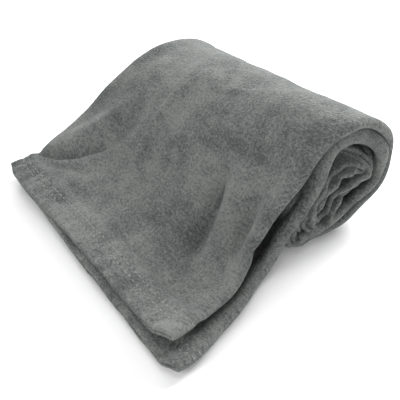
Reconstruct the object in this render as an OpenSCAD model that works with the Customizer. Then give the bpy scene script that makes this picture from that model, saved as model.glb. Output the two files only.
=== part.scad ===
// A throw blanket, folded lengthwise in four layers and rolled up, with its free end let out.
// X runs along the roll, +Y is the roll's back, -Y is the free end, and Z is up from the floor.
// The panel's two long sides are folded to its middle line and then the panel is folded in half,
// so the strip has an upper and a lower leaf, each a doubled layer with its fold on the +X side.

/* [Leaves] */
// Thickness of one folded leaf, which is two layers of fleece
leaf_t = 5.5; // [5:0.1:5.5]
// Gap between leaves that lie on each other
leaf_gap = 0.5; // [0.4:0.1:0.6]
// Length along X of the rolled strip
strip_w = 300; // [260:5:340]

/* [Roll] */
// Full width of the roll, front to back
roll_w = 136; // [132:1:142]
// Height of the roll
roll_h = 128; // [126:1:132]
// How far the floor flattens the roll's underside
sag = 4; // [2:0.5:5]
// Squareness of the roll's section, where 2 is an ellipse
squareness = 2.2; // [2:0.1:2.4]
// Turns from the top of the roll to the hem in the core
turns = 4.7; // [4.4:0.05:4.7]

/* [Flap] */
// Y of the hem at its far end
hem_far_y = -160; // [-175:1:-150]
// How much nearer the roll the hem is at its near end
hem_skew = 31; // [0:1:40]
// How far the upper leaf fans out past the roll's end
upper_fan = 32; // [10:1:40]
// How far the lower leaf fans out past the roll's end
lower_fan = 50; // [20:1:55]
// Where the flap leaves the roll at the near end, as a share of the roll's half width
near_leave = 0.75; // [0.6:0.01:0.8]
// Where the flap leaves the roll at the far end, as a share of the roll's half width
far_leave = 0.5; // [0.4:0.01:0.6]

/* [Hem] */
// Width of the turned hem
hem_w = 25; // [20:1:30]
// Distance of the outer stitch row from the hem's edge
outer_row = 16; // [12:0.5:18]
// Distance of the inner stitch row from the hem's edge
inner_row = 23; // [20:0.5:24]
// Thickness of the thread
thread_d = 0.9; // [0.6:0.1:1.2]
// Length of one stitch
stitch_l = 3.4; // [2.5:0.1:4]
// Distance from one stitch to the next
stitch_pitch = 6; // [5:0.5:8]

/* [Hidden] */

fleece = [0.45, 0.46, 0.45];
fleece_inside = [0.39, 0.40, 0.39];
hem_shade = [0.50, 0.51, 0.50];
thread_shade = [0.62, 0.63, 0.62];

fan_total = strip_w + lower_fan;
far_x = -fan_total / 2;
near_x = far_x + strip_w;
roll_y = -hem_far_y - roll_w / 2;
roll_cz = roll_h / 2 - sag / 2;
half_w = roll_w / 2;
half_h = roll_h - roll_cz;
stack_t = 2 * leaf_t + leaf_gap;
winding_clear = 0.5;
pitch = stack_t + winding_clear;
lower_depth = leaf_t + leaf_gap;

// The spiral moves in by one pitch low on the front of each turn, under the flap.
ramp_from = 0.62;
ramp_to = 0.84;
winding_step = 9;
first_turn = 0.001;
core_hem_turns = 0.35;
turn_of_core_hem = turns - core_hem_turns;
winding_gap = 0.002;

// Where the core hem's two rows lie, as shares of its width, and how deep the threads are sunk
core_rows = [0.3, 0.7];
core_thread_sink = 1;
upper_thread_sink = 0.2;

// Softness of the bend where the flap reaches the floor
foot_bend = 7;
// Above this height the floor no longer bends the flap.
free_z = 60;
// What keeps a leaf clear of the roll behind it and of the hem in front of it
roll_clear = 0.4;
hem_clear = 0.2;
// Small steps over which slopes are measured
nudge_u = 0.001;
nudge_y = 0.1;
flap_rows = 36;
flap_columns = 16;
hem_rows = 3;

function smooth(t) = let (c = max(0, min(1, t))) c * c * (3 - 2 * c);
function floor_r(a) = sin(a) < 0 ? roll_cz / -sin(a) : roll_w;
function outline_r(a) = min(floor_r(a), pow(pow(abs(cos(a)) / half_w, squareness)
    + pow(abs(sin(a)) / half_h, squareness), -1 / squareness));
function winding_depth(turn) = pitch * (floor(turn)
    + smooth((turn - floor(turn) - ramp_from) / (ramp_to - ramp_from)));
function winding_point(turn, depth) = let (a = 90 - 360 * turn,
    r = outline_r(a) - winding_depth(turn) - depth) [r * cos(a) + roll_y, r * sin(a) + roll_cz];

// A leaf that winds from one turn of the spiral to another, at its depth in the strip
module winding(from, to, depth) {
    steps = ceil((to - from) * 360 / winding_step);
    line = [for (i = [0:steps]) from + (to - from) * i / steps];
    outer = [for (turn = line) winding_point(turn, depth)];
    inner = [for (i = [steps:-1:0]) winding_point(line[i], depth + leaf_t)];
    translate([far_x, 0, 0]) rotate([90, 0, 90]) linear_extrude(strip_w) polygon(concat(outer, inner));
}

// Height of the roll's top skin at a distance from its middle, given as a share of half_w
function skin_z(u) = roll_cz + half_h * pow(1 - pow(u, squareness), 1 / squareness);
function skin_slope(u) = (skin_z(u + nudge_u) - skin_z(u - nudge_u)) / (2 * nudge_u * half_w);
function leave_u(x) = far_leave + (near_leave - far_leave) * smooth((x - far_x) / strip_w);

// The flap's top: it follows the roll, leaves it in a straight slope and lies down on the floor.
function slope_z(u, leave) = skin_z(leave) + (u - leave) * half_w * skin_slope(leave);
function above_floor(z) = z > free_z ? z : stack_t
    + foot_bend * ln(1 + exp((z - stack_t) / foot_bend));
function flap_z(x, y) = let (u = (roll_y - y) / half_w, leave = leave_u(x))
    u < leave ? skin_z(max(u, 0)) : above_floor(slope_z(u, leave));
function flap_slope(x, y) = (flap_z(x, y + nudge_y) - flap_z(x, y - nudge_y)) / (2 * nudge_y);
function flap_point(x, y, depth) = let (s = y > roll_y - 2 * nudge_y ? 0 : flap_slope(x, y),
    n = sqrt(1 + s * s)) [x, y + depth * s / n, max(flap_z(x, y) - depth / n, stack_t - depth)];

function hem_y(x) = hem_far_y + hem_skew * (x - far_x) / fan_total;
function fan_x(y, fan) = near_x + fan * (1 - pow(1 - smooth((roll_y - y) / (roll_y - hem_far_y)), 2));

// A leaf of the flap between two shares of its length, where trim is kept off the hem's edge
module leaf(from, to, trim_from, trim_to, rows, depth, fan) {
    grid = [for (i = [0:rows]) for (j = [0:flap_columns])
        let (share = i / rows, v = from + (to - from) * share, wide = j / flap_columns,
            guess = roll_y + (hem_far_y - roll_y) * v,
            x = far_x + (fan_x(guess, fan) - far_x) * wide,
            trim = trim_from + (trim_to - trim_from) * share,
            y = roll_y + (hem_y(x) - roll_y) * v + trim) [x, y]];
    count = len(grid);
    across = flap_columns + 1;
    top = [for (p = grid) flap_point(p.x, p.y, depth)];
    bottom = [for (p = grid) flap_point(p.x, p.y, depth + leaf_t)];
    cells = [for (i = [0:rows - 1]) for (j = [0:flap_columns - 1]) i * across + j];
    top_faces = [for (c = cells) each [[c, c + 1, c + across + 1], [c, c + across + 1, c + across]]];
    bottom_faces = [for (f = top_faces) [f[0] + count, f[2] + count, f[1] + count]];
    rim = concat([for (j = [0:flap_columns - 1]) j], [for (i = [0:rows - 1]) i * across + flap_columns],
        [for (j = [flap_columns:-1:1]) rows * across + j], [for (i = [rows:-1:1]) i * across]);
    walls = [for (k = [0:len(rim) - 1]) let (a = rim[k], b = rim[(k + 1) % len(rim)])
        each [[a, a + count, b + count], [a, b + count, b]]];
    polyhedron(concat(top, bottom), concat(top_faces, bottom_faces, walls));
}

// One row of stitches on a hem, at a distance from the edge, with the thread sunk by a depth
module stitch_row(from_edge, depth, fan) {
    last_x = fan_x(hem_far_y, fan) - stitch_pitch;
    angle = atan(hem_skew / fan_total);
    for (x = [far_x + stitch_pitch:stitch_pitch:last_x]) {
        p = flap_point(x, hem_y(x) + from_edge, depth);
        translate(p) rotate([0, 90, angle]) cylinder(h = stitch_l, d = thread_d, center = true, $fn = 16);
    }
}

module outer_wrap_upper_leaf() {
    color(fleece) winding(first_turn, 1 - winding_gap, 0);
}

module outer_wrap_lower_leaf() {
    color(fleece) winding(first_turn, 1 - winding_gap, lower_depth);
}

module inner_windings_upper_leaf() {
    color(fleece_inside) winding(1, turn_of_core_hem - winding_gap, 0);
}

module inner_windings_lower_leaf() {
    color(fleece_inside) winding(1, turn_of_core_hem - winding_gap, lower_depth);
}

module core_upper_hem() {
    color(hem_shade) winding(turn_of_core_hem, turns, 0);
}

module core_lower_hem() {
    color(hem_shade) winding(turn_of_core_hem, turns, lower_depth);
}

// The core's hem has its two rows sunk in the inner face of the lower leaf.
module core_hem_stitching() {
    color(thread_shade) for (row = core_rows) {
        turn = turn_of_core_hem + row * (turns - turn_of_core_hem);
        p = winding_point(turn, lower_depth + leaf_t - core_thread_sink);
        for (x = [far_x + stitch_pitch:stitch_pitch:near_x - stitch_pitch])
            translate([x, p[0], p[1]]) rotate([0, 90, 0])
                cylinder(h = stitch_l, d = thread_d, center = true, $fn = 16);
    }
}

module flap_upper_leaf() {
    color(fleece) leaf(0, 1, -roll_clear, hem_w + hem_clear, flap_rows, 0, upper_fan);
}

module flap_lower_leaf() {
    color(fleece) leaf(0, 1, -roll_clear, hem_w + hem_clear, flap_rows, lower_depth, lower_fan);
}

module flap_upper_hem() {
    color(hem_shade) leaf(1, 1, hem_w, 0, hem_rows, 0, upper_fan);
}

module flap_lower_hem() {
    color(hem_shade) leaf(1, 1, hem_w, 0, hem_rows, lower_depth, lower_fan);
}

module upper_hem_stitching() {
    color(thread_shade) for (row = [outer_row, inner_row]) stitch_row(row, upper_thread_sink, upper_fan);
}

// The lower leaf's rows are sunk in the face that the upper leaf lies on.
module lower_hem_stitching() {
    color(thread_shade) for (row = [outer_row, inner_row])
        stitch_row(row, lower_depth + thread_d, lower_fan);
}

outer_wrap_upper_leaf();
outer_wrap_lower_leaf();
inner_windings_upper_leaf();
inner_windings_lower_leaf();
core_upper_hem();
core_lower_hem();
core_hem_stitching();
flap_upper_leaf();
flap_lower_leaf();
flap_upper_hem();
flap_lower_hem();
upper_hem_stitching();
lower_hem_stitching();
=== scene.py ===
import math

import bmesh
import bpy
import numpy as np
from mathutils import Matrix, Vector, noise


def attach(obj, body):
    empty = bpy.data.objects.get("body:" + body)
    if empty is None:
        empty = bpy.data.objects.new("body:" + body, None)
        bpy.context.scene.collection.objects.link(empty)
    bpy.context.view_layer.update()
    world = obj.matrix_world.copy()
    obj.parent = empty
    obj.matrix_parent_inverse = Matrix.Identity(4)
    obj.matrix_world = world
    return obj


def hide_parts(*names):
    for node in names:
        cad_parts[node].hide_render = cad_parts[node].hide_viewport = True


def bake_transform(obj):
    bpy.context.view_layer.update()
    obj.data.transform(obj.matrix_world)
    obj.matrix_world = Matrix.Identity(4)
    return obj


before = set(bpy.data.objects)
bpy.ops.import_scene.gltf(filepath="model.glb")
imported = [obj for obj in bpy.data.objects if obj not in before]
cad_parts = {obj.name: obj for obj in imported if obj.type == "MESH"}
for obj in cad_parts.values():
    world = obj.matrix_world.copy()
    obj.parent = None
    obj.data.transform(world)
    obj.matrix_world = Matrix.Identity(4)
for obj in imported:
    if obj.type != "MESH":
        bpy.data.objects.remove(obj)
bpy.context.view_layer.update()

cameraView = {
    "azimuth": 57,  # degrees, 0 looks along +Y with +X to the right
    "elevation": 36.5,
    "distance": 0.4505,
    "lens": 40.5,
    "aim": (0.0435, -0.021, 0.0355),
}


def placeCamera(view):
    turn, rise = math.radians(view["azimuth"]), math.radians(view["elevation"])
    back = Vector((math.sin(turn) * math.cos(rise), -math.cos(turn) * math.cos(rise), math.sin(rise)))
    right = Vector((math.cos(turn), math.sin(turn), 0))
    up = back.cross(right)
    data = bpy.data.cameras.new("camera")
    data.lens, data.sensor_width = view["lens"], 36
    data.clip_start = 0.01
    camera = bpy.data.objects.new("camera", data)
    bpy.context.scene.collection.objects.link(camera)
    axes = Matrix((right, up, back)).transposed().to_4x4()
    camera.matrix_world = Matrix.Translation(Vector(view["aim"]) + back * view["distance"]) @ axes
    bpy.context.scene.camera = camera


placeCamera(cameraView)
print("camera placed")

throw = {
    "width": 1.27,  # the panel, flat
    "cloth": 0.0017,  # thickness of one layer
    "layer": 0.0020,  # from one layer to the next where they lie flat
    "hem": 0.025,  # turned under at both ends
    "hemHalf": 0.0026,  # half thickness of a leaf at its hem
    "turnRadius": 0.00085,
    "farX": -0.172,  # the strip's far side on the roll
    "nearX": 0.125,  # the roll's near end
    "farShiftAtHem": 0.014,
    "pastHem": 0.0225,  # the lines start this far past the hem at the far side
    "hemSkew": 0.072,  # the hem comes nearer the roll towards the near end
    "widest": 0.36,  # the strip's reach across, with its leaves fanned out
    "nearShape": 0.7,  # the wrap takes its near shape sooner, the lower this is
    "stations": 33,
    "step": 0.0015,
    "split": 0.42,  # where the flap's piece ends, out of sight at the back
    "floorSoftness": 0.0012,  # how gently the cloth meets the floor
}

# The strip's outer skin, in metres of y and z, from past the free hem up to the crest of the roll
nearDrape = [(-0.175, 0.0088), (-0.140, 0.0088), (-0.100, 0.0090), (-0.068, 0.0095), (-0.042, 0.0115),
             (-0.022, 0.0175), (-0.008, 0.030), (0.003, 0.046), (0.016, 0.064), (0.027, 0.081),
             (0.037, 0.097), (0.048, 0.109), (0.061, 0.119), (0.076, 0.1250)]
farDrape = [(-0.185, 0.0120), (-0.162, 0.0142), (-0.140, 0.0205), (-0.115, 0.030), (-0.092, 0.038),
            (-0.070, 0.047), (-0.051, 0.058), (-0.034, 0.070), (-0.017, 0.083), (0.002, 0.096),
            (0.021, 0.107), (0.040, 0.1145), (0.058, 0.1185), (0.075, 0.1205)]
# and on round the roll: down its back, along the floor and up its front
nearWrap = [(0.092, 0.1262), (0.106, 0.1236), (0.121, 0.117), (0.136, 0.106), (0.149, 0.0925), (0.158, 0.078),
            (0.162, 0.062), (0.160, 0.047), (0.153, 0.034), (0.141, 0.023), (0.124, 0.014), (0.104, 0.007),
            (0.080, 0.003), (0.062, 0.001), (0.046, 0.000), (0.032, 0.005), (0.024, 0.015), (0.021, 0.028)]
farWrap = [(0.092, 0.1203), (0.108, 0.118), (0.124, 0.111), (0.140, 0.099), (0.151, 0.083), (0.156, 0.066),
           (0.155, 0.050), (0.148, 0.034), (0.136, 0.020), (0.119, 0.009), (0.100, 0.003), (0.080, 0.001),
           (0.062, 0.001), (0.047, 0.002), (0.035, 0.007), (0.027, 0.015), (0.022, 0.025), (0.021, 0.037)]
# The middle of the strip where it winds loosely into the core: y, z and how far its near edge lies back.
# The second turn lines the wrap, the third falls in at the bottom as a loop, and the end doubles back.
windings = [(0.034, 0.040, 0.012), (0.041, 0.053, 0.010), (0.049, 0.067, 0.009), (0.057, 0.080, 0.010),
            (0.067, 0.090, 0.020), (0.081, 0.096, 0.034), (0.098, 0.097, 0.044), (0.113, 0.093, 0.040),
            (0.127, 0.086, 0.026), (0.137, 0.075, 0.014), (0.141, 0.063, 0.008), (0.137, 0.051, 0.010),
            (0.127, 0.042, 0.014), (0.112, 0.034, 0.016), (0.097, 0.027, 0.016), (0.083, 0.019, 0.012),
            (0.070, 0.012, 0.006), (0.057, 0.011, 0.003), (0.047, 0.018, 0.003), (0.042, 0.030, 0.003),
            (0.045, 0.042, 0.002), (0.052, 0.056, 0.002), (0.060, 0.069, 0.003), (0.069, 0.079, 0.009),
            (0.081, 0.086, 0.020), (0.096, 0.087, 0.025), (0.110, 0.083, 0.018), (0.122, 0.077, 0.009),
            (0.130, 0.068, 0.003), (0.129, 0.059, 0.001), (0.120, 0.052, 0.000), (0.107, 0.048, 0.000),
            (0.095, 0.043, 0.000), (0.087, 0.034, 0.000), (0.081, 0.024, 0.000), (0.071, 0.020, 0.000),
            (0.060, 0.022, 0.000), (0.054, 0.031, 0.000), (0.055, 0.042, 0.000), (0.061, 0.053, 0.001),
            (0.068, 0.062, 0.002), (0.077, 0.070, 0.003), (0.089, 0.074, 0.003), (0.103, 0.073, 0.001),
            (0.115, 0.069, 0.000), (0.120, 0.0635, 0.000), (0.114, 0.059, 0.001), (0.101, 0.058, 0.003),
            (0.088, 0.056, 0.006), (0.078, 0.050, 0.014), (0.071, 0.041, 0.024), (0.069, 0.033, 0.030)]
wrapMiddle = np.array([0.090, 0.058])
farCore = 0.95  # the windings' size at the far side, against the near end


def ease(t):
    t = np.clip(t, 0, 1)
    return t * t * (3 - 2 * t)


def evenly(line, step):
    run = np.concatenate([[0], np.cumsum(np.linalg.norm(np.diff(line[:, :2], axis=0), axis=1))])
    at = np.arange(int(run[-1] / step) + 1) * step
    return np.stack([np.interp(at, run, column) for column in line.T], axis=1)


# A smooth curve through a few points, with points a step apart
def smoothLine(points, step, samples=24):
    p = np.array(points, float)
    p = np.vstack([2 * p[0] - p[1], p, 2 * p[-1] - p[-2]])
    t = np.linspace(0, 1, samples, endpoint=False)[:, None]
    pieces = []
    for a, b, c, d in zip(p[:-3], p[1:-2], p[2:-1], p[3:]):
        bend = (2 * a - 5 * b + 4 * c - d) * t ** 2 + (3 * b - a - 3 * c + d) * t ** 3
        pieces.append(0.5 * (2 * b + (c - a) * t + bend))
    return evenly(np.vstack(pieces + [p[-2:-1]]), step)


# Unit vectors into the stack of layers, square to the line
def inward(line):
    d = np.gradient(line[:, :2], axis=0)
    d /= np.linalg.norm(d, axis=1)[:, None]
    return np.stack([d[:, 1], -d[:, 0]], axis=1)


# The middle of the strip at a share of the way from its far side to its near end
def sectionAt(share):
    steep = float(ease(share))
    drape = np.array(farDrape) * (1 - steep) + np.array(nearDrape) * steep
    full = share ** throw["nearShape"]
    wrap = np.array(farWrap) * (1 - full) + np.array(nearWrap) * full
    skin = smoothLine(np.vstack([drape, wrap]), throw["step"])
    middle = skin + inward(skin) * 2 * throw["layer"]
    spaced = middle[:-6:8]
    wound = np.array(windings)
    wound[:, :2] = wrapMiddle + (wound[:, :2] - wrapMiddle) * (farCore + (1 - farCore) * share)
    return smoothLine(np.vstack([np.column_stack([spaced, np.zeros(len(spaced))]), wound]), throw["step"])


def stationLines():
    lines = [sectionAt(s) for s in np.linspace(0, 1, throw["stations"])]
    count = min(len(line) for line in lines)
    lines = [line[:count] for line in lines]
    return np.array(lines), np.array([inward(line) for line in lines])


middles, inwards = stationLines()
setBack = middles[-1, :, 2]
middles = middles[:, :, :2]
lineLength = (middles.shape[1] - 1) * throw["step"]
stripLength = lineLength - throw["pastHem"] - throw["hemSkew"] * throw["widest"]
print("strip length", round(stripLength, 3))


# A place in the strip: x across it, run along it from the hem, and depth inward from its middle
def placeInStrip(x, run, depth):
    share = np.clip((x - throw["farX"]) / (throw["nearX"] - throw["farX"]), 0, 1) * (throw["stations"] - 1)
    hemStart = throw["pastHem"] + throw["hemSkew"] * (x - throw["farX"])
    i = np.minimum(share.astype(int), throw["stations"] - 2)
    f = (share - i)[:, None]
    along = np.clip((run + hemStart) / throw["step"], 0, middles.shape[1] - 1.001)
    j = along.astype(int)
    g = (along - j)[:, None]

    def mix(field):
        low = field[i, j] * (1 - g) + field[i, j + 1] * g
        high = field[i + 1, j] * (1 - g) + field[i + 1, j + 1] * g
        return low * (1 - f) + high * f

    yz = mix(middles) + mix(inwards) * depth[:, None]
    above = yz[:, 1] - throw["cloth"] / 2
    yz[:, 1] = throw["cloth"] / 2 + (above + np.sqrt(above ** 2 + throw["floorSoftness"] ** 2)) / 2
    return np.column_stack([x, yz])


# Each crease or ridge is a line of points (x, run, height outward) and a width
creases = [
    ([(-0.152, 0.040, -0.005), (-0.131, 0.056, -0.013), (-0.116, 0.070, -0.014),
      (-0.104, 0.096, -0.007)], 0.0055),
    ([(-0.111, 0.082, -0.003), (-0.105, 0.107, -0.009), (-0.100, 0.132, -0.008),
      (-0.096, 0.170, -0.002)], 0.014),
    ([(-0.144, 0.068, 0.003), (-0.135, 0.086, 0.009), (-0.126, 0.110, 0.008),
      (-0.118, 0.145, 0.003)], 0.016),
    ([(-0.137, 0.034, -0.002), (-0.111, 0.048, -0.004), (-0.080, 0.062, -0.002)], 0.006),
    ([(-0.060, 0.245, 0.0004), (-0.069, 0.195, 0.0026), (-0.068, 0.156, 0.0028), (-0.060, 0.125, 0.0025),
      (-0.049, 0.095, 0.0003)], 0.0030),
    ([(-0.050, 0.205, -0.002), (-0.054, 0.160, -0.003), (-0.042, 0.120, -0.002)], 0.014),
    ([(0.040, 0.180, -0.002), (0.050, 0.142, -0.013), (0.060, 0.112, -0.014), (0.078, 0.088, -0.009),
      (0.098, 0.064, -0.001)], 0.0105),
    ([(0.064, 0.170, 0.002), (0.074, 0.136, 0.007), (0.088, 0.108, 0.005), (0.104, 0.082, 0.002)], 0.012),
    ([(0.090, 0.176, -0.001), (0.099, 0.145, -0.009), (0.108, 0.122, -0.009), (0.117, 0.098, -0.001)], 0.009),
    ([(-0.050, 0.250, 0.0004), (-0.043, 0.258, 0.0014), (-0.020, 0.272, 0.0003)], 0.003),
    ([(-0.034, 0.228, 0.0003), (-0.008, 0.237, 0.0013), (0.012, 0.247, 0.0003)], 0.003),
    ([(-0.030, 0.221, -0.001), (-0.006, 0.230, -0.001)], 0.004),
    ([(-0.062, 0.010, -0.001), (-0.052, 0.018, -0.0025), (-0.040, 0.026, -0.001)], 0.0032),
    ([(-0.096, 0.012, 0.001), (-0.080, 0.040, 0.002), (-0.060, 0.058, 0.001)], 0.007),
    ([(0.146, 0.012, -0.001), (0.158, 0.018, -0.002), (0.164, 0.030, -0.0015)], 0.0035),
    ([(0.010, 0.040, 0.001), (0.045, 0.055, 0.0025), (0.075, 0.050, 0.001)], 0.012),
]
swells = [(11, 0.0042, 3.1), (27, 0.0016, 8.4), (64, 0.0006, 1.7)]  # to the metre, height, place in the noise
ruffles = {
    "calmer": 0.6,  # how much calmer the swells are on the roll
    "calmFrom": 0.30,
    "calmOver": 0.15,
    "gathers": 0.0024,  # how high the hems pucker
    "gathersEnd": 0.024,
    "gathersOver": 0.012,
    "gathersAcross": 120,  # to the metre
    "gathersAlong": 30,
    "gathersPlace": 5.5,
}


def strokeHeight(x, run, points, width):
    nearest, tall = np.full(x.shape, 1.0), np.zeros(x.shape)
    for (x0, run0, tall0), (x1, run1, tall1) in zip(points, points[1:]):
        stretch = (x1 - x0) ** 2 + (run1 - run0) ** 2
        t = np.clip(((x - x0) * (x1 - x0) + (run - run0) * (run1 - run0)) / stretch, 0, 1)
        gap = np.hypot(x - x0 - t * (x1 - x0), run - run0 - t * (run1 - run0))
        tall = np.where(gap < nearest, tall0 + t * (tall1 - tall0), tall)
        nearest = np.minimum(nearest, gap)
    return tall * np.exp(-(nearest / width) ** 2)


def wrinkleHeight(x, run):
    height = sum(strokeHeight(x, run, points, width) for points, width in creases)
    calm = 1 - ruffles["calmer"] * ease((run - ruffles["calmFrom"]) / ruffles["calmOver"])
    for often, tall, place in swells:
        wave = [noise.noise((u, v, place)) for u, v in zip(x * often, run * often * 0.8)]
        height = height + tall * calm * np.array(wave)
    hemmed = 1 - ease((run - ruffles["gathersEnd"]) / ruffles["gathersOver"])
    spots = zip(x * ruffles["gathersAcross"], run * ruffles["gathersAlong"])
    gathers = [noise.noise((u, v, ruffles["gathersPlace"])) for u, v in spots]
    return height + ruffles["gathers"] * hemmed * np.array(gathers)


folds = {
    # how far a leaf fans out past the roll's end at the hem, over what run, and how fast that dies out
    "upperFan": (0.036, 0.125, 2.2),
    "lowerFan": (0.054, 0.150, 1.5),
    "waves": (41, 97, 233),  # the folded edges run unevenly: waves in two pi metres
    "waveHeights": (0.0016, 0.001),
    "looseWaves": (0.0022, 0.0017),  # more of it in the core
    "looseFrom": 0.46,
    "looseOver": 0.08,
    "lowerSetBack": 1.25,  # the lower leaf's edge lies further back in the core
    "farWave": (0.0015, 37),
    "farShiftRun": 0.16,
    # half thickness of the folded edges at these places along the strip
    "puffRuns": (0, 0.08, 0.16, 0.30, 0.40, 0.60, 0.70),
    "upperPuffs": (0.0032, 0.0034, 0.0042, 0.0044, 0.0028, 0.0024, 0.0020),
    "lowerPuffs": (0.0036, 0.0046, 0.0072, 0.0076, 0.0042, 0.0032, 0.0022),
    "puffReach": 0.020,
    "hemEnds": 0.026,  # the strip is as thick as its hem up to here
    "hemEases": 0.014,
    "spinePuff": 0.0055,
    "spineHemPuff": 0.0028,  # added at the hem, where the spine opens into a loop
    "spineHemRun": 0.060,
    "spineInCore": 0.45,  # how much flatter the spine is in the core
    "spineCoreFrom": 0.50,
    "spineCoreOver": 0.15,
    "spineReach": 0.022,
    "innerStop": 0.6,  # the inner quarters end this share of the spine's puff short of the far side
    "innerHollow": 0.012,  # and this much further back at the hem
    "lyingUntil": 0.13,  # the flap lies on the floor up to here
    "lyingOver": 0.10,
    "rimLift": 0.0085,  # the upper leaf's folded edge stands this far off the lower leaf
    "rimLiftReach": 0.045,
    "lowerHemSwell": 0.0006,  # the lower leaf's hem is this much fuller than the upper one's, each way
    "lowerSag": 0.024,  # how far the lower leaf hangs away from the upper one beside the roll
    "sagRun": (0.160, 0.048),  # middle and width
    "sagFromX": (0.055, 0.06),  # from here, over this
    "lowerDip": 0.007,  # and how far it dips just inside its folded edge
    "dipRun": (0.150, 0.050),  # middle and width, as for the next
    "dipFromFold": (0.016, 0.012),
}


# Where the panel's point (across, run) lies: its x, its depth, and the way to the cloth's wrong side
def foldAcross(across, run):
    quarter, layer = throw["width"] / 4, throw["layer"]
    upper = across < 2 * quarter
    fromFold = np.where(upper, across - quarter, across - 3 * quarter)
    side = np.where(fromFold < 0, 1.0, -1.0)
    b = np.abs(fromFold)
    shapes = (folds["upperFan"], folds["lowerFan"])
    fans = [far * (1 - np.clip(run / over, 0, 1) ** power) for far, over, power in shapes]
    fan = np.where(upper, fans[0], fans[1])
    hemStart = throw["pastHem"] + throw["hemSkew"] * (throw["nearX"] - throw["farX"])
    back = np.interp(run + hemStart, np.arange(len(setBack)) * throw["step"], setBack)
    loose = ease((run - folds["looseFrom"]) / folds["looseOver"])
    slow, quick, quickest = folds["waves"]
    slowHeight, quickHeight = folds["waveHeights"]
    looseSlow, looseQuickest = folds["looseWaves"]
    uneven = (slowHeight + looseSlow * loose) * np.sin(run * slow + upper * 2)
    uneven = uneven + quickHeight * np.sin(run * quick + upper)
    uneven = uneven + looseQuickest * loose * np.sin(run * quickest + upper * 3)
    edge = throw["nearX"] + fan - back * np.where(upper, 1, folds["lowerSetBack"]) + uneven
    farHeight, farOften = folds["farWave"]
    far = throw["farX"] + throw["farShiftAtHem"] * (1 - ease(run / folds["farShiftRun"]))
    far = far + farHeight * np.sin(run * farOften)
    upperPuff = np.interp(run, folds["puffRuns"], folds["upperPuffs"])
    lowerPuff = np.interp(run, folds["puffRuns"], folds["lowerPuffs"])
    puff = np.where(upper, upperPuff, lowerPuff)
    hemmed = 1 - ease((run - folds["hemEnds"]) / folds["hemEases"])
    fuller = np.where(upper, 0, folds["lowerHemSwell"])
    half = 0.5 * layer + (throw["hemHalf"] + fuller - 0.5 * layer) * hemmed
    puff = np.maximum(puff, half)
    atHem = 1 - ease(run / folds["spineHemRun"])
    flatter = folds["spineInCore"] * ease((run - folds["spineCoreFrom"]) / folds["spineCoreOver"])
    spine = folds["spinePuff"] * (1 - flatter) + folds["spineHemPuff"] * atHem
    outer = (side < 0) == upper
    quarterTurn = np.pi * puff / 2
    farEnd = np.where(outer, far + spine, far + folds["innerStop"] * spine + folds["innerHollow"] * atHem)
    flat = quarter - quarterTurn - np.where(outer, np.pi * spine / 2, 0)
    past = np.clip(b - quarterTurn, 0, None)
    angle = np.clip(b / puff, 0, np.pi / 2)
    rim = edge - puff
    x = np.where(past > 0, rim - past * (rim - farEnd) / flat, rim + puff * np.cos(angle))
    near = 1 - ease(past / folds["puffReach"])
    opened = np.where(past > 0, half + (puff - half) * near, puff * np.sin(angle))

    # The folded edges push their neighbours inward on the roll, and outward where they lie on the floor.
    lying = 1 - ease((run - folds["lyingUntil"]) / folds["lyingOver"])
    upperSwell = (upperPuff - 0.5 * layer) * near
    lowerSwell = (lowerPuff - 0.5 * layer) * near
    wideNear = 1 - ease(past / folds["rimLiftReach"])
    onRoll = np.where(upper, upperSwell, 2 * upperSwell + lowerSwell)
    onFloor = np.where(upper, -upperSwell - folds["rimLift"] * wideNear, -lowerSwell)
    middle = np.where(upper, -layer, layer)
    hemRise = (throw["hemHalf"] - 0.5 * layer) * hemmed
    middle = middle - np.where(upper, 3 * hemRise + 2 * folds["lowerHemSwell"] * hemmed,
                               hemRise + folds["lowerHemSwell"] * hemmed)
    middle = middle + onRoll * (1 - lying) + onFloor * lying
    depth = middle + side * opened
    wayX = np.where(past > 0, 0, -np.cos(angle))
    wayDepth = -side * np.where(past > 0, 1, np.sin(angle))

    # The spine joins the two outer quarters round the far side.
    q = np.abs(across - 2 * quarter)
    turn = np.clip(q / spine, 0, np.pi / 2)
    bending = outer & (q < np.pi * spine / 2)
    sense = np.where(upper, -1.0, 1.0)
    reach = 1 - ease((q - np.pi * spine / 2) / folds["spineReach"])
    centre = -2 * hemRise
    joined = centre + sense * np.where(bending, spine * np.sin(turn), spine)
    depth = np.where(bending, joined, np.where(outer, depth + (joined - depth) * reach, depth))
    x = np.where(bending, far + spine - spine * np.cos(turn), x)
    wayX = np.where(bending, np.cos(turn), wayX)
    wayDepth = np.where(bending, -sense * np.sin(turn), wayDepth)

    # Beside the roll the lower leaf sags away from the upper one.
    sagMiddle, sagWidth = folds["sagRun"]
    sagX, sagOver = folds["sagFromX"]
    sagging = folds["lowerSag"] * np.exp(-((run - sagMiddle) / sagWidth) ** 2) * ease((x - sagX) / sagOver)
    dipMiddle, dipWidth = folds["dipRun"]
    dipIn, dipReach = folds["dipFromFold"]
    dip = folds["lowerDip"] * np.exp(-((run - dipMiddle) / dipWidth) ** 2 - ((past - dipIn) / dipReach) ** 2)
    depth = depth + np.where(upper, 0, sagging + dip)
    return x, depth, wayX, wayDepth


hem = {
    "rows": (0.016, 0.023),  # the stitching's rows, from the hem's edge
    "rowWidth": 0.0018,
    "rowDepth": 0.0016,
    "cornerRound": 0.006,  # how far the hem draws back at its folded corners
    "cornerReach": 0.018,
    "spineRound": 1.3,  # and at the spine, against the corners
    "spineReach": 0.030,
    "roundRun": 0.05,
    "lowerReach": 0.0065,  # the lower leaf's hem lies this far out past the upper one's
    "lowerReachX": (-0.10, 0.16),  # from here, over this
    "lowerReachRun": 0.3,
}


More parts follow.
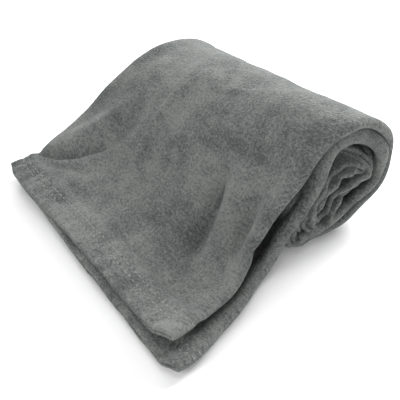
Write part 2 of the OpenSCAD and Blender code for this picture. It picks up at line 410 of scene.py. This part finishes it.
# The panel's point (across, run), where a run below zero is the part of the hem that is turned under
def onCloth(across, run, lift=0.0):
    radius = throw["turnRadius"]
    bend = np.clip(run / radius, -np.pi / 2, np.pi / 2)
    along = radius - radius * np.cos(bend) + np.clip(np.abs(run) - np.pi * radius / 2, 0, None)
    under = radius - radius * np.sin(bend)
    x, depth, wayX, wayDepth = foldAcross(across, along)
    x = x + wayX * (under - lift)
    depth = depth + wayDepth * (under - lift)
    rows = sum(np.exp(-((along - row) / hem["rowWidth"]) ** 2) for row in hem["rows"])
    depth = depth + wayDepth * hem["rowDepth"] * rows * (run > 0)
    quarter = throw["width"] / 4
    fromFold = np.minimum(np.abs(across - quarter), np.abs(across - 3 * quarter))
    fromSpine = np.abs(across - 2 * quarter)
    rounding = ease(1 - fromFold / hem["cornerReach"])
    rounding = rounding + hem["spineRound"] * ease(1 - fromSpine / hem["spineReach"])
    corner = hem["cornerRound"] * rounding * (1 - ease(along / hem["roundRun"]))
    reachX, reachOver = hem["lowerReachX"]
    reach = hem["lowerReach"] * ease((x - reachX) / reachOver) * (across > throw["width"] / 2)
    reach = reach * (1 - ease(along / hem["lowerReachRun"]))
    return placeInStrip(x, along - reach + corner, depth - wrinkleHeight(x, along))


spacing = {  # how closely the mesh's points lie, in metres
    "hidden": 0.012,
    "shown": 0.0030,
    "foldReach": 0.022,
    "foldColumns": 23,
    "foldClear": 0.024,
    "flapRows": 0.0031,
    "rollRows": 0.0055,
    "underRows": 7,  # rows in the part of the hem that is turned under
    "edgeRows": 9,
    "edgeReach": 0.0022,
}


# The columns lie close at the three folds and in the quarter that shows.
def columnPlaces():
    quarter = throw["width"] / 4
    hidden, shown = np.arange(0, quarter, spacing["hidden"]), np.arange(0, quarter, spacing["shown"])
    spread = np.linspace(-spacing["foldReach"], spacing["foldReach"], spacing["foldColumns"])
    bends = [f + spread for f in (quarter, 2 * quarter, 3 * quarter)]
    flats = np.concatenate([hidden, quarter + shown, 2 * quarter + hidden, 3 * quarter + hidden])
    keep = [v for v in flats if min(abs(v - quarter * k) for k in (1, 2, 3)) > spacing["foldClear"]]
    return np.unique(np.round(np.concatenate([keep, *bends, [0, throw["width"]]]), 6))


def sheetPiece(name, runs):
    columns = columnPlaces()
    bm = bmesh.new()
    bmesh.ops.create_grid(bm, x_segments=len(columns) - 1, y_segments=len(runs) - 1, size=0.5)
    bmesh.ops.reverse_faces(bm, faces=bm.faces)
    mesh = bpy.data.meshes.new(name)
    bm.to_mesh(mesh)
    bm.free()
    flat = np.zeros(len(mesh.vertices) * 3)
    mesh.vertices.foreach_get("co", flat)
    flat = flat.reshape(-1, 3) + 0.5
    across = columns[np.rint(flat[:, 0] * (len(columns) - 1)).astype(int)]
    run = runs[np.rint(flat[:, 1] * (len(runs) - 1)).astype(int)]
    mesh.vertices.foreach_set("co", onCloth(across, run).ravel())
    corners = np.zeros(len(mesh.loops), int)
    mesh.loops.foreach_get("vertex_index", corners)
    uv = mesh.uv_layers.new(name="cloth")
    uv.data.foreach_set("uv", np.column_stack([across[corners], run[corners]]).ravel())
    mesh.shade_smooth()
    piece = bpy.data.objects.new(name, mesh)
    bpy.context.scene.collection.objects.link(piece)
    thick = piece.modifiers.new("thickness", "SOLIDIFY")
    thick.thickness, thick.offset = throw["cloth"], 0
    return piece


under = np.linspace(-throw["hem"], -0.003, spacing["underRows"])
edge = np.linspace(-spacing["edgeReach"], spacing["edgeReach"], spacing["edgeRows"])
rows = np.arange(0.004, throw["split"], spacing["flapRows"])
flapPiece = sheetPiece("blanket_flap", np.concatenate([under, edge, rows, [throw["split"]]]))
rows = np.arange(throw["split"], stripLength, spacing["rollRows"])
rollPiece = sheetPiece("blanket_roll", np.append(rows, stripLength))
print("cloth laid", len(flapPiece.data.polygons), len(rollPiece.data.polygons))

stitches = {
    "pitch": 0.006,
    "length": 0.0034,
    "radius": 0.0005,
    "proud": 0.0005,  # how far the thread's middle stands off the cloth
    "batch": 25,  # stitches made at a time, because a growing mesh slows each one
}


# Rows of stitches beside an end of the strip, where heading is 1 or -1 towards the strip's middle
def threadPiece(name, endRun, heading):
    mesh = bpy.data.meshes.new(name)
    starts = np.arange(stitches["pitch"], throw["width"] - stitches["pitch"], stitches["pitch"])
    lift = throw["cloth"] / 2 + stitches["proud"]
    for row in hem["rows"]:
        run = np.full(len(starts), endRun + heading * row)
        heads = onCloth(starts, run, lift)
        tails = onCloth(starts + stitches["length"], run, lift)
        for first in range(0, len(starts), stitches["batch"]):
            bm = bmesh.new()
            last = first + stitches["batch"]
            for head, tail in zip(heads[first:last], tails[first:last]):
                way = Vector(tail - head)
                size = Matrix.Diagonal((stitches["radius"], stitches["radius"], way.length / 2, 1))
                turn = way.to_track_quat("Z", "Y").to_matrix().to_4x4()
                place = Matrix.Translation((head + tail) / 2) @ turn @ size
                bmesh.ops.create_uvsphere(bm, u_segments=6, v_segments=4, radius=1, matrix=place)
            bm.from_mesh(mesh)
            bm.to_mesh(mesh)
            bm.free()
    mesh.shade_smooth()
    piece = bpy.data.objects.new(name, mesh)
    bpy.context.scene.collection.objects.link(piece)
    return piece


hemThread = threadPiece("hem_thread", 0, 1)
coreThread = threadPiece("core_hem_thread", stripLength, -1)
print("hems stitched")

pile = {
    "light": (0.200, 0.208, 0.199),
    "dark": (0.072, 0.080, 0.079),
    "darkAt": 0.60,
    "lightAt": 0.82,
    # painted sheen where the pile lies one way or the other (the patches and streaks), and the fleece's own
    # tufts and grain: to the metre, detail, roughness and distortion
    "sheenPatches": (17, 4, 0.6, 0.6),
    "sheenStreaks": (70, 3, 0.6, 0.3),
    "tufts": (330, 2, 0.5, 0.0),
    "grain": (700, 1, 0.7, 0.0),
    "weights": (0.40, 0.22, 0.38, 0.42),  # of those four in the colour
    "depth": 0.0016,
    "bump": 0.9,
    "grainInBump": 0.7,
}


def fleeceMaterial():
    material = bpy.data.materials.new("fleece")
    material.use_nodes = True
    nodes, links = material.node_tree.nodes, material.node_tree.links
    shader = nodes["Principled BSDF"]
    shader.inputs["Roughness"].default_value = 0.95
    shader.inputs["Sheen Weight"].default_value = 0.30
    shader.inputs["Sheen Roughness"].default_value = 0.35
    shader.inputs["Sheen Tint"].default_value = (0.82, 0.85, 0.83, 1)
    shader.inputs["Specular IOR Level"].default_value = 0.10
    place = nodes.new("ShaderNodeUVMap")
    place.uv_map = "cloth"

    def noiseAt(scale, detail, rough, bent):
        n = nodes.new("ShaderNodeTexNoise")
        n.inputs["Scale"].default_value = scale
        n.inputs["Detail"].default_value = detail
        n.inputs["Roughness"].default_value = rough
        n.inputs["Distortion"].default_value = bent
        links.new(place.outputs["UV"], n.inputs["Vector"])
        return n.outputs["Fac"]

    def combine(operation, a, b):
        n = nodes.new("ShaderNodeMath")
        n.operation = operation
        for socket, value in zip(n.inputs, (a, b)):
            if isinstance(value, (int, float)):
                socket.default_value = value
            else:
                links.new(value, socket)
        return n.outputs[0]

    # The patches and streaks are painted sheen: the colour goes lighter and darker where the nap would catch
    # the light differently. The tufts and grain are the fleece's own speckle.
    noises = [noiseAt(*pile[name]) for name in ("sheenPatches", "sheenStreaks", "tufts", "grain")]
    weighed = [combine("MULTIPLY", fac, weight) for fac, weight in zip(noises, pile["weights"])]
    shade = weighed[0]
    for part in weighed[1:]:
        shade = combine("ADD", shade, part)
    ramp = nodes.new("ShaderNodeValToRGB")
    ramp.color_ramp.elements[0].position = pile["darkAt"]
    ramp.color_ramp.elements[1].position = pile["lightAt"]
    ramp.color_ramp.elements[0].color = (*pile["dark"], 1)
    ramp.color_ramp.elements[1].color = (*pile["light"], 1)
    links.new(shade, ramp.inputs["Fac"])
    links.new(ramp.outputs["Color"], shader.inputs["Base Color"])
    bump = nodes.new("ShaderNodeBump")
    bump.inputs["Strength"].default_value = pile["bump"]
    bump.inputs["Distance"].default_value = pile["depth"]
    tufts, grain = noises[2:]
    height = combine("ADD", tufts, combine("MULTIPLY", grain, pile["grainInBump"]))
    links.new(height, bump.inputs["Height"])
    links.new(bump.outputs["Normal"], shader.inputs["Normal"])
    return material


spun = {
    "dark": (0.19, 0.198, 0.19),
    "light": (0.32, 0.33, 0.315),
    "twist": 600,  # bands to the metre, before the wave's own factor
    "unevenness": 1.5,
}


# Spun thread, with its twist as slanting bands across its colour
def threadMaterial():
    material = bpy.data.materials.new("thread")
    material.use_nodes = True
    nodes, links = material.node_tree.nodes, material.node_tree.links
    shader = nodes["Principled BSDF"]
    shader.inputs["Roughness"].default_value = 0.6
    shader.inputs["Sheen Weight"].default_value = 0.2
    place = nodes.new("ShaderNodeTexCoord")
    twist = nodes.new("ShaderNodeTexWave")
    twist.bands_direction = "DIAGONAL"
    twist.inputs["Scale"].default_value = spun["twist"]
    twist.inputs["Distortion"].default_value = spun["unevenness"]
    links.new(place.outputs["Object"], twist.inputs["Vector"])
    ramp = nodes.new("ShaderNodeValToRGB")
    ramp.color_ramp.elements[0].color = (*spun["dark"], 1)
    ramp.color_ramp.elements[1].color = (*spun["light"], 1)
    links.new(twist.outputs["Fac"], ramp.inputs["Fac"])
    links.new(ramp.outputs["Color"], shader.inputs["Base Color"])
    return material


fleece, thread = fleeceMaterial(), threadMaterial()
for piece in (flapPiece, rollPiece):
    piece.data.materials.append(fleece)
for piece in (hemThread, coreThread):
    piece.data.materials.append(thread)
print("finishes set")


stage = {
    "halfSize": 4,
    "drop": 0.0005,  # the floor lies this far under the cloth
    "pale": (0.9, 0.9, 0.9),
    "horizon": 0.60,
    "zenith": 0.40,
    "lampsAim": (0, 0, 0.05),
}
lamps = {  # place in metres, size, watts
    "back_key": ((-0.2, 1.2, 0.75), 0.5, 28),
    "front_fill": ((0, -1.2, 0.75), 0.6, 7),
    "top_fill": ((0, 0, 1.4), 0.6, 4),
    "side_fill": ((1.25, 0, 0.55), 0.6, 4),
    "far_fill": ((-1.2, 0.1, 0.60), 0.5, 9),
}


def studio():
    bm = bmesh.new()
    bmesh.ops.create_grid(bm, x_segments=1, y_segments=1, size=stage["halfSize"])
    mesh = bpy.data.meshes.new("floor")
    bm.to_mesh(mesh)
    bm.free()
    floor = bpy.data.objects.new("floor", mesh)
    floor.location.z = -stage["drop"]
    bpy.context.scene.collection.objects.link(floor)
    pale = bpy.data.materials.new("pale_floor")
    pale.use_nodes = True
    shader = pale.node_tree.nodes["Principled BSDF"]
    shader.inputs["Base Color"].default_value = (*stage["pale"], 1)
    shader.inputs["Roughness"].default_value = 0.9
    mesh.materials.append(pale)
    world = bpy.data.worlds.new("studio")
    world.use_nodes = True
    sky, links = world.node_tree.nodes, world.node_tree.links
    place = sky.new("ShaderNodeTexCoord")
    split = sky.new("ShaderNodeSeparateXYZ")
    rise = sky.new("ShaderNodeMapRange")
    sky["Background"].inputs["Color"].default_value = (1, 1, 1, 1)
    rise.inputs["To Min"].default_value = stage["horizon"]
    rise.inputs["To Max"].default_value = stage["zenith"]
    links.new(place.outputs["Generated"], split.inputs["Vector"])
    links.new(split.outputs["Z"], rise.inputs["Value"])
    links.new(rise.outputs["Result"], sky["Background"].inputs["Strength"])
    bpy.context.scene.world = world
    for name, (spot, size, power) in lamps.items():
        light = bpy.data.lights.new(name, "AREA")
        light.size, light.energy = size, power
        lamp = bpy.data.objects.new(name, light)
        lamp.location = spot
        way = Vector(stage["lampsAim"]) - Vector(spot)
        lamp.rotation_euler = way.to_track_quat("-Z", "Y").to_euler()
        bpy.context.scene.collection.objects.link(lamp)


studio()
bpy.context.scene.view_settings.view_transform = "Standard"
print("stage lit")

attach(rollPiece, "roll")
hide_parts("outer_wrap_upper_leaf", "outer_wrap_lower_leaf", "inner_windings_upper_leaf",
            "inner_windings_lower_leaf", "core_upper_hem", "core_lower_hem")
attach(coreThread, "roll")
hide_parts("core_hem_stitching")
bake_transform(flapPiece)
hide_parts("flap_upper_leaf", "flap_lower_leaf", "flap_upper_hem", "flap_lower_hem")
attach(hemThread, "flap")
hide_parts("upper_hem_stitching", "lower_hem_stitching")
